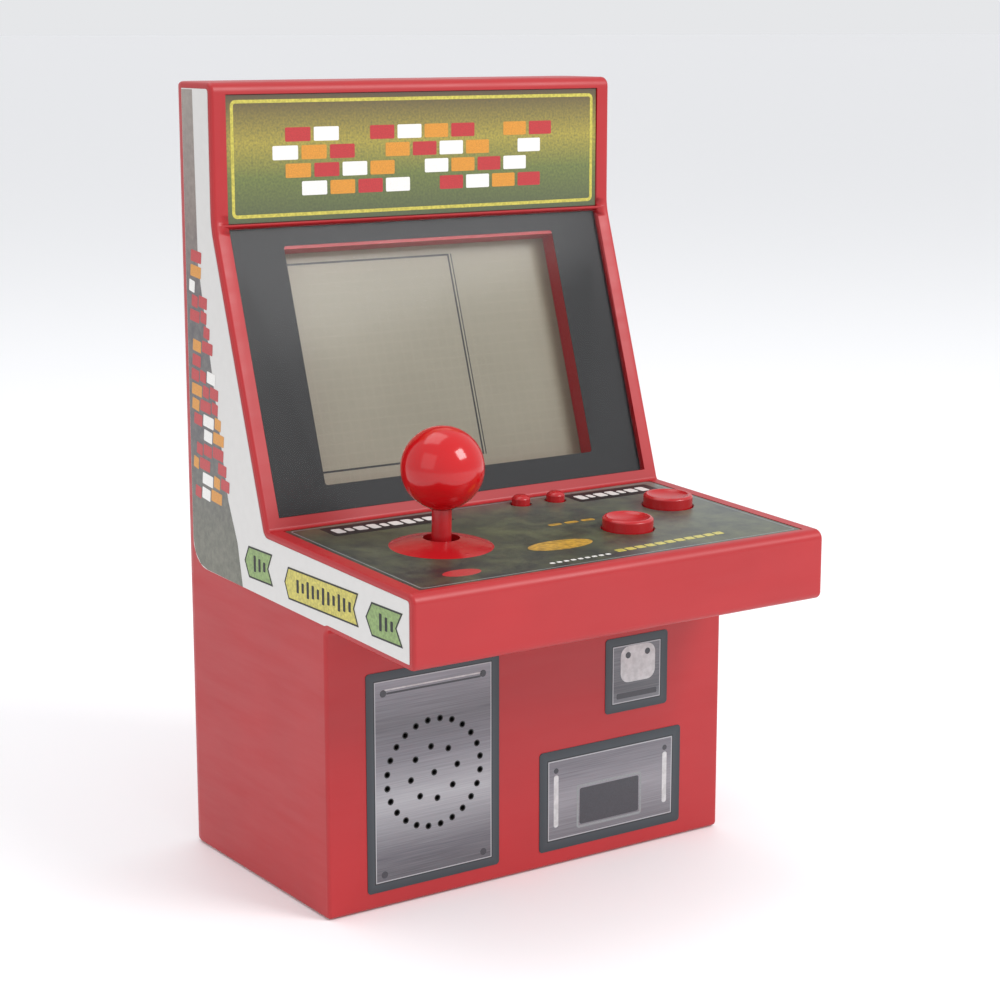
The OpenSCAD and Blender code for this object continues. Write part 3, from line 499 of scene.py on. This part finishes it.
# ---- Buttons ----
# Two dished play buttons and two small menu buttons, moulded in the same red,
# each held under the deck by a flange and pressing a silicone dome.
button_r, button_h, menu_r = 5.3, 2.4, 2.0
flange_top, flange_low, plunger_foot = -2.2, -3.3, -7.9
for name, x, y in (("button_a", 16, 22), ("button_b", 36, 34)):
    place = on_deck @ Matrix.Translation((x * MM, y * MM, 0))
    cap = turned([(0, 1.45), (1.5, 1.52), (2.9, 1.72), (4.0, 2.06), (4.4, button_h), (4.85, button_h),
                  (button_r, 2.0), (button_r, flange_top), (button_r + 1, flange_top),
                  (button_r + 1, flange_low), (2.0, flange_low), (2.0, plunger_foot),
                  (0, plunger_foot)], place)
    rounded_edges(cap, ring_edges(cap, 28), 0.14 * MM, 3)
    finished(name + "_cap", cap, polished_red, name, "control_plastic", name, smooth=50)
for name, body, x, y in (("menu_button_left", "menu_left", 8.9, 50.2),
                         ("menu_button_right", "menu_right", 17.4, 49.4)):
    place = on_deck @ Matrix.Translation((x * MM, y * MM, 0))
    cap = turned([(0, 2.0), (1.2, 1.9), (1.7, 1.55), (menu_r, 1.2), (menu_r, flange_top),
                  (menu_r + 1, flange_top), (menu_r + 1, flange_low), (1.5, flange_low),
                  (1.5, plunger_foot), (0, plunger_foot)], place, 48)
    rounded_edges(cap, ring_edges(cap, 40), 0.1 * MM, 2)
    finished(name + "_cap", cap, polished_red, body, "control_plastic", name, smooth=50)

# ---- Lower front ----
# Printed vinyl plates on the lower front: a brushed-metal speaker plate over
# the sound holes, a coin slot and a coin door, each with a slate border.
plate_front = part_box("speaker_decal")[0].y
on_front = Matrix.Translation((0, plate_front, 0)) @ Matrix.Rotation(radians(90), 4, "X")


def brushed_print(name, plate, border_mm, stops):
    """Brushed metal printed on vinyl: a light and dark sweep up the plate with fine level streaks,
    inside a slate border that is edged with a thin dark line."""
    made, tree, shader, place = started(name)
    low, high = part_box(plate)
    centre, half = (low + high) / 2, (high - low) / 2
    apart = node(tree, "SeparateXYZ", {0: place})
    up = node(tree, "MapRange", {"Value": apart.outputs["Z"], "From Min": low.z, "From Max": high.z})
    sweep = node(tree, "ValToRGB", {"Fac": up.outputs[0]}, stops=[(at, linear(colour)) for at, colour in stops])
    long_way = node(tree, "Mapping", {"Vector": place, "Scale": (60, 60, 4500)})
    streaks = node(tree, "TexNoise", {"Vector": long_way.outputs[0], "Scale": 1, "Detail": 5, "Roughness": 0.6})
    lines = node(tree, "ValToRGB", {"Fac": streaks.outputs[0]},
                 stops=[(0.3, linear("5d5c63")), (0.7, linear("b5b5ba"))])
    both = node(tree, "Mix", {0: 0.22, 6: sweep.outputs[0], 7: lines.outputs[0]}, data_type="RGBA")
    from_edge = []
    for axis, middle, reach in (("X", centre.x, half.x), ("Z", centre.z, half.z)):
        offset = node(tree, "Math", {0: apart.outputs[axis], 1: middle}, operation="SUBTRACT")
        away = node(tree, "Math", {0: offset.outputs[0]}, operation="ABSOLUTE")
        from_edge.append(node(tree, "Math", {0: reach, 1: away.outputs[0]}, operation="SUBTRACT").outputs[0])
    rim = node(tree, "Math", {0: from_edge[0], 1: from_edge[1]}, operation="MINIMUM")
    inside = node(tree, "MapRange", {"Value": rim.outputs[0], "From Max": border_mm * 2 * MM})
    edging = node(tree, "ValToRGB", {"Fac": inside.outputs[0]},
                  stops=[(0.0, linear("34393e")), (0.44, linear("3f454a")), (0.46, linear("232629")),
                         (0.5, linear("232629")), (0.52, linear("a9a9ad")), (0.56, linear("a9a9ad"))])
    panel_starts = 0.565
    panel = node(tree, "Math", {0: inside.outputs[0], 1: panel_starts}, operation="GREATER_THAN")
    whole = node(tree, "Mix", {0: panel.outputs[0], 6: edging.outputs[0], 7: both.outputs[2]}, data_type="RGBA")
    relief = node(tree, "Bump", {"Height": streaks.outputs[0], "Distance": 0.004 * MM, "Strength": 0.6})
    tree.links.new(whole.outputs[2], shader.inputs["Base Color"])
    tree.links.new(relief.outputs[0], shader.inputs["Normal"])
    shader.inputs["Metallic"].default_value = 0.2
    shader.inputs["Roughness"].default_value = 0.36
    return made


speaker_print = brushed_print("brushed_print_speaker", "speaker_decal", 1.9,
                              [(0.0, "3f3d42"), (0.16, "55535a"), (0.4, "a6a6aa"), (0.6, "6d6b72"),
                               (0.75, "57555b"), (0.92, "7f7e85"), (1.0, "8c8b92")])
coin_print = brushed_print("brushed_print_coin", "coin_door_decal", 2.2,
                           [(0.0, "514f55"), (0.5, "8a878d"), (0.75, "6e6b72"), (1.0, "59565d")])
slot_print = brushed_print("brushed_print_slot", "coin_slot_decal", 1.9,
                           [(0.0, "75767a"), (0.3, "46474b"), (0.6, "5a5b60"), (1.0, "67686d")])
dress(speaker_print, "speaker_decal")
dress(coin_print, "coin_door_decal")
dress(slot_print, "coin_slot_decal")

shadows = bmesh.new()
printed(shadows, outline(oblong(-36.2, -13.6, 44.7, 45.1)), on_front)
for x, y, r, height in ((-37.0, 45.0, 0.75, 0), (-13.0, 45.4, 0.75, 0), (-37.0, 7.0, 0.75, 0),
                        (-13.0, 7.0, 0.75, 0), (5.6, 21.0, 0.6, 0), (34.7, 21.0, 0.6, 0),
                        (24.4, 43.4, 0.7, 2 * ink_t), (29.6, 43.6, 0.7, 2 * ink_t)):
    printed(shadows, disc(x, y, r, segments=24), on_front, height)
printed(shadows, outline(oblong(11.8, 27.6, 8.0, 16.0), 0.5), on_front)
printed(shadows, outline(oblong(21.4, 32.2, 34.0, 35.2), 0.3), on_front)
# Each sound hole goes through plate and shell: a black rim on the plate, the printed punched edge
# widened with painted shade, and a black wall inside, painted shade where the hole looks dark; each
# given as radius, width, height and thickness. Rings of holes are radius, count and turn in degrees.
speaker_at = (-25, 26.5)
sound_rings = ((0, 1, 0), (5.65, 8, 7.5), (11.3, 24, 7.5))
plate_rim, hole_wall_shade = (0.7, 0.14, 0.01, ink_t), (0.54, 0.05, -1.7, 1.72)
hole_rims_and_shade = bmesh.new()
for radius, count, turn in sound_rings:
    for step in range(count):
        angle = radians(turn + 360 * step / count)
        hole_at = (speaker_at[0] + radius * cos(angle), speaker_at[1] + radius * sin(angle))
        # The wall is a black tube of painted shade inside the hole; the rim widens the dark dot on the plate.
        for reach, width, low, thick in (plate_rim, hole_wall_shade):
            rim = only_rim(disc(*hole_at, reach, segments=20), width)
            printed(hole_rims_and_shade, rim, on_front, low, thick)
finished("sound_hole_rims_and_shade", hole_rims_and_shade, dark_ink, "housing", "plate_print")
grey_ink = printed_ink("dark_grey_ink", "33333a", 0.42, 0.15)
finished("plate_shadows", shadows, grey_ink, "housing", "plate_print")
lights = bmesh.new()
printed(lights, outline(oblong(22.4, 31.7, 37.4, 45.4), 2.2), on_front, ink_t)
for x in (5.0, 34.1):
    printed(lights, outline(oblong(x, x + 1.2, 8.5, 20.0), 0.5), on_front)
printed(lights, outline(oblong(-36.6, -13.4, 45.5, 45.8)), on_front)
pale_ink = printed_ink("pale_grey_ink", "bdbcbd", 0.42, 0.12, 1.2)
finished("plate_lights", lights, pale_ink, "housing", "plate_print")
slot_lip = bmesh.new()
printed(slot_lip, outline(oblong(11.0, 28.4, 7.2, 16.8), 0.7, 0.5), on_front)
finished("coin_slot_lip", slot_lip, silver_ink, "housing", "plate_print")

# ---- Side decals ----
# White vinyl on both flat sides with a darker picture at the back: plain tumbling
# bricks in red, white and orange over slate, and three small badges on the band.
side_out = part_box("right_side_decal")[1].x
turned_sideways = Matrix(((0, 0, 1, 0), (1, 0, 0, 0), (0, 1, 0, 0), (0, 0, 0, 1)))
on_side = Matrix.Translation((side_out, deck_front, 0)) @ turned_sideways
white_vinyl = printed_ink("white_vinyl_gloss", "d0cecb", 0.38, 0.012, 2.0)
dress(white_vinyl, "left_side_decal", "right_side_decal")

art, tree, shader, place = started("side_picture_ground")
apart = node(tree, "SeparateXYZ", {0: place})
up = node(tree, "MapRange", {"Value": apart.outputs["Z"], "From Min": 60 * MM, "From Max": 162 * MM})
sky = node(tree, "ValToRGB", {"Fac": up.outputs[0]},
           stops=[(0.0, linear("595b49")), (0.12, linear("57584a")), (0.3, linear("4a474b")),
                  (0.6, linear("4d484c")), (0.75, linear("7b6a63")), (1.0, linear("948981"))])
speck = node(tree, "TexNoise", {"Vector": place, "Scale": 1 / (1.6 * MM), "Detail": 6, "Roughness": 0.7})
rough_sky = node(tree, "ValToRGB", {"Fac": speck.outputs[0]},
                 stops=[(0.35, linear("34312f")), (0.7, linear("a8a294"))])
ground = node(tree, "Mix", {0: 0.22, 6: sky.outputs[0], 7: rough_sky.outputs[0]}, data_type="RGBA")
tree.links.new(ground.outputs[2], shader.inputs["Base Color"])
shader.inputs["Roughness"].default_value = 0.4
shader.inputs["Coat Weight"].default_value = 0.4
shader.inputs["Coat Roughness"].default_value = 0.15

picture = bmesh.new()
field = [(65.5, 62.0), (81.2, 62.6), (84.2, 63.3), (86.5, 65.5), (87.3, 68.4), (87.3, 162.5), (82.6, 162.5),
         (81.9, 126.9), (71.1, 79.3), (67.4, 70.9)]
printed(picture, outline(field), on_side, both_sides=True)
finished("side_picture", picture, art, "housing", "side_print")

falling = {"side_red_bricks": (red_ink, bmesh.new()), "side_white_bricks": (white_ink, bmesh.new()),
           "side_orange_bricks": (orange_ink, bmesh.new())}
# Rows of bricks of three lengths stand up from the field's front edge, with gaps.
kinds = ("side_red_bricks", "side_white_bricks", "side_red_bricks", "side_orange_bricks",
         "side_red_bricks")
field_foot, row_pitch = 77.5, 3.1
for row in range(17):
    z = field_foot + row_pitch * row
    x = 71.2 + (z - 79) * 0.215 - (row * 5 % 3) * 0.5
    column = row % 2
    while x < 84.5:
        wide = (2.6, 4.6, 3.6)[(row + column) % 3]
        back = min(x + wide, 86.2)
        if (2 * row + 3 * column) % 7:
            slab = [(x, z), (back, z + 0.5), (back - 0.3, z + 2.9), (x - 0.3, z + 2.4)]
            wall = falling[kinds[(row * 2 + column * 3) % 5]][1]
            printed(wall, outline(slab, 0.25), on_side, ink_t, both_sides=True)
        x += wide + 0.5
        column += 1
for name, (ink, shape) in falling.items():
    finished(name, shape, ink, "housing", "side_print")

badges = {"badge_green": (green_ink, bmesh.new()), "badge_yellow": (yellow_ink, bmesh.new()),
          "badge_lines": (dark_ink, bmesh.new())}
for kind, left, right, cut in (("badge_green", 3.4, 16.6, 2.2), ("badge_yellow", 19.2, 47.8, 1.6),
                               ("badge_green", 52.6, 64.4, 1.8)):
    low, high = 62.7 + left * tan(deck_slope), 69.3 + left * tan(deck_slope)
    middle = (low + high) / 2
    ribbon = [(left, low), (right - cut, low), (right, middle), (right - cut, high), (left, high),
              (left + cut, middle)]
    badge_lines = badges["badge_lines"][1]
    printed(badges[kind][1], outline(ribbon), on_side, ink_t, both_sides=True)
    printed(badge_lines, outline(ribbon, ring=0.35), on_side, 2 * ink_t, both_sides=True)
    for step in range(int((right - left - 2 * cut - 1.5) / 2)):
        x = left + cut + 1.2 + 2 * step
        tall = 1.0 + 0.35 * (step % 3)
        printed(badge_lines, outline(oblong(x, x + 0.9, middle - tall, middle + tall), 0.2), on_side,
                2 * ink_t, both_sides=True)
for name, (ink, shape) in badges.items():
    finished(name, shape, ink, "housing", "side_print")

# ---- Inside ----
# Boards, pads, speaker, wires and cells: seen only with the battery door open
# or through the sound holes, each in its own usual material.
white_acetal = moulded_plastic("white_acetal", "d9d7cf", 0.4, 0.5, 0.003)
dress(white_acetal, "lcd_frame", "stick_actuator", "gimbal_ring", "gimbal_frame")
solder_mask = printed_ink("green_solder_mask", "2f6b3a", 0.32, 0.2, 0.8)
dress(solder_mask, "main_board", "control_board")
dress(moulded_plastic("black_epoxy_blob", "1b1b1b", 0.3, 1.5, 0.02), "main_board_chip")
dress(printed_ink("tan_ceramic_chips", "a87c4a", 0.35, 0.2, 0.6), "main_board_parts")
dress(moulded_plastic("clear_grey_silicone", "c9c9c0", 0.5, 0.6, 0.004), "stick_pad", "button_pad")
dress(moulded_plastic("pink_zebra_silicone", "dd8795", 0.5, 0.4, 0.004), "contact_strips")
dress(moulded_plastic("grey_ribbon_pvc", "a9a9ab", 0.42, 0.5, 0.01), "ribbon_cable")
dress(moulded_plastic("red_wire_pvc", "b3262a", 0.4, 0.5, 0.004), "speaker_wires", "battery_wires")
dress(moulded_plastic("black_pressed_paper", "1b1b1d", 0.7, 0.25, 0.02), "speaker_cone")
dress(plated_steel("steel_black_plated", "3c3c40", 0.4), "speaker_basket")

# Shrink sleeve on each cell: blue with a gold band at the plus end and a fine gloss;
# the middle cell stands the other way up.
sleeve, tree, shader, place = started("shrink_sleeve_blue")
apart = node(tree, "SeparateXYZ", {0: place})
cell_low, cell_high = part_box("battery_cells")
along = node(tree, "MapRange", {"Value": apart.outputs["Z"], "From Min": cell_low.z, "From Max": cell_high.z})
from_foot = node(tree, "Math", {0: 1, 1: along.outputs[0]}, operation="SUBTRACT")
sideways = node(tree, "Math", {0: apart.outputs["X"]}, operation="ABSOLUTE")
half_cell = 5.4 * MM
middle_cell = node(tree, "Math", {0: sideways.outputs[0], 1: half_cell}, operation="LESS_THAN")
turned_over = node(tree, "Mix", {0: middle_cell.outputs[0], 2: along.outputs[0], 3: from_foot.outputs[0]},
                   data_type="FLOAT")
bands = node(tree, "ValToRGB", {"Fac": turned_over.outputs[0]},
             stops=[(0.0, linear("b9bbbf")), (0.06, linear("b9bbbf")), (0.075, linear("2f5f8a")),
                    (0.7, linear("2a567e")), (0.72, linear("c9a94a")), (0.93, linear("c9a94a")),
                    (0.95, linear("b9bbbf"))])
tree.links.new(bands.outputs[0], shader.inputs["Base Color"])
ripple = node(tree, "TexNoise", {"Vector": place, "Scale": 1 / (2.5 * MM), "Detail": 2})
crease = node(tree, "Bump", {"Height": ripple.outputs[0], "Distance": 0.02 * MM, "Strength": 1})
tree.links.new(crease.outputs[0], shader.inputs["Normal"])
shader.inputs["Roughness"].default_value = 0.25
dress(sleeve, "battery_cells")

# ---- Floor, light and camera ----
# A plain pale floor and soft studio light: a large key from the front right, a
# weaker fill from the left, a soft light from above and an even pale surround.
table_top = bpy.data.meshes.new("table_top")
plane = bmesh.new()
bmesh.ops.create_grid(plane, x_segments=1, y_segments=1, size=60)
bmesh.ops.translate(plane, vec=(0, 0, -0.0002), verts=plane.verts)
plane.to_mesh(table_top)
plane.free()
paper, tree, shader, place = started("pale_paper_floor")
shader.inputs["Base Color"].default_value = linear("fafafb")
shader.inputs["Roughness"].default_value = 0.6
# A trace of glow keeps the far floor as pale as the surround.
shader.inputs["Emission Color"].default_value = linear("fafafb")
shader.inputs["Emission Strength"].default_value = 0.04
table_top.materials.append(paper)
floor = bpy.data.objects.new("floor", table_top)
bpy.context.scene.collection.objects.link(floor)

middle = Vector((0, 0, 0.08))
for name, lamp_at, size, power in (("key_light", (0.45, -0.75, 0.75), 0.45, 6.5),
                                   ("fill_light", (-0.9, -0.25, 0.5), 0.7, 1.0),
                                   ("top_light", (-0.1, 0.25, 0.95), 0.6, 2.0)):
    lamp = bpy.data.lights.new(name, "AREA")
    lamp.size = size
    lamp.energy = power
    holder = bpy.data.objects.new(name, lamp)
    holder.location = lamp_at
    holder.rotation_euler = (middle - Vector(lamp_at)).to_track_quat("-Z", "Y").to_euler()
    bpy.context.scene.collection.objects.link(holder)

world = bpy.data.worlds.new("surround")
world.use_nodes = True
world.node_tree.nodes["Background"].inputs["Color"].default_value = (0.93, 0.94, 0.96, 1)
world.node_tree.nodes["Background"].inputs["Strength"].default_value = 0.85
bpy.context.scene.world = world
bpy.context.scene.view_settings.view_transform = "Standard"

camera = bpy.data.cameras.new("camera")
camera.lens = 82.81
camera.sensor_width = 36
camera_holder = bpy.data.objects.new("camera", camera)
camera_holder.location = (-0.2666, -0.3902, 0.1745)
camera_holder.rotation_euler = (radians(90 - 11.571), 0, radians(-34.41))
bpy.context.scene.collection.objects.link(camera_holder)
bpy.context.scene.camera = camera_holder
